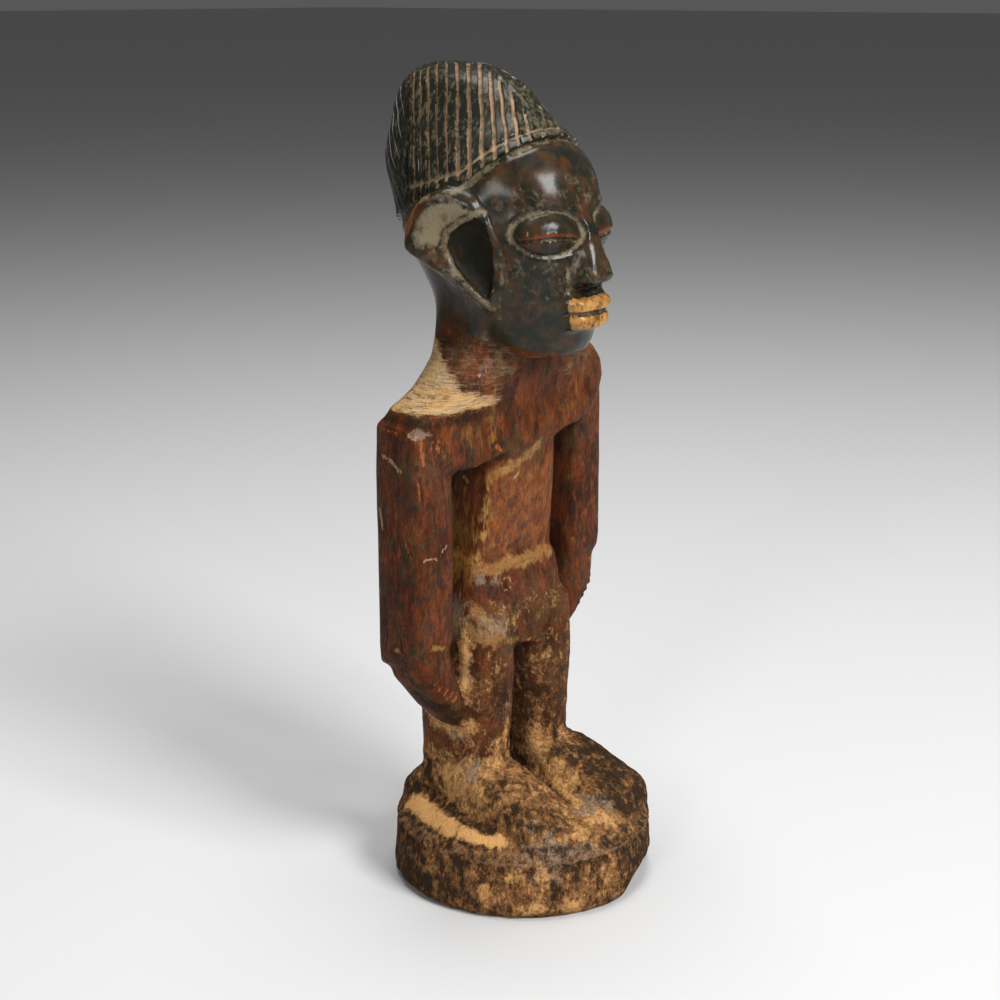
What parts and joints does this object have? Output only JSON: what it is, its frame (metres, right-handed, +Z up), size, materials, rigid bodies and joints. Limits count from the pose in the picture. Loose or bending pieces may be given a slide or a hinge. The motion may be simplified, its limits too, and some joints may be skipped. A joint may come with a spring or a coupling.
{
  "type": "ibeji figure",
  "caption": "Standing carved twin figure with tall grooved hair, large ears, straight arms, apron and bare feet, in a single block with its round plinth.",
  "frame": {"origin": "centre of the plinth's flat underside", "axes": "+Z up along the body, the figure faces -Y, so its own right side is -X"},
  "size_m": [0.0965, 0.096, 0.2695],
  "materials": {
    "carved_wood": "dark handled patina over red-brown wood, ochre crust on plinth, feet and belt, glossy black head"
  },
  "bodies": {
    "root": {"ibeji_figure": "carved_wood"}
  },
  "joints": []
}
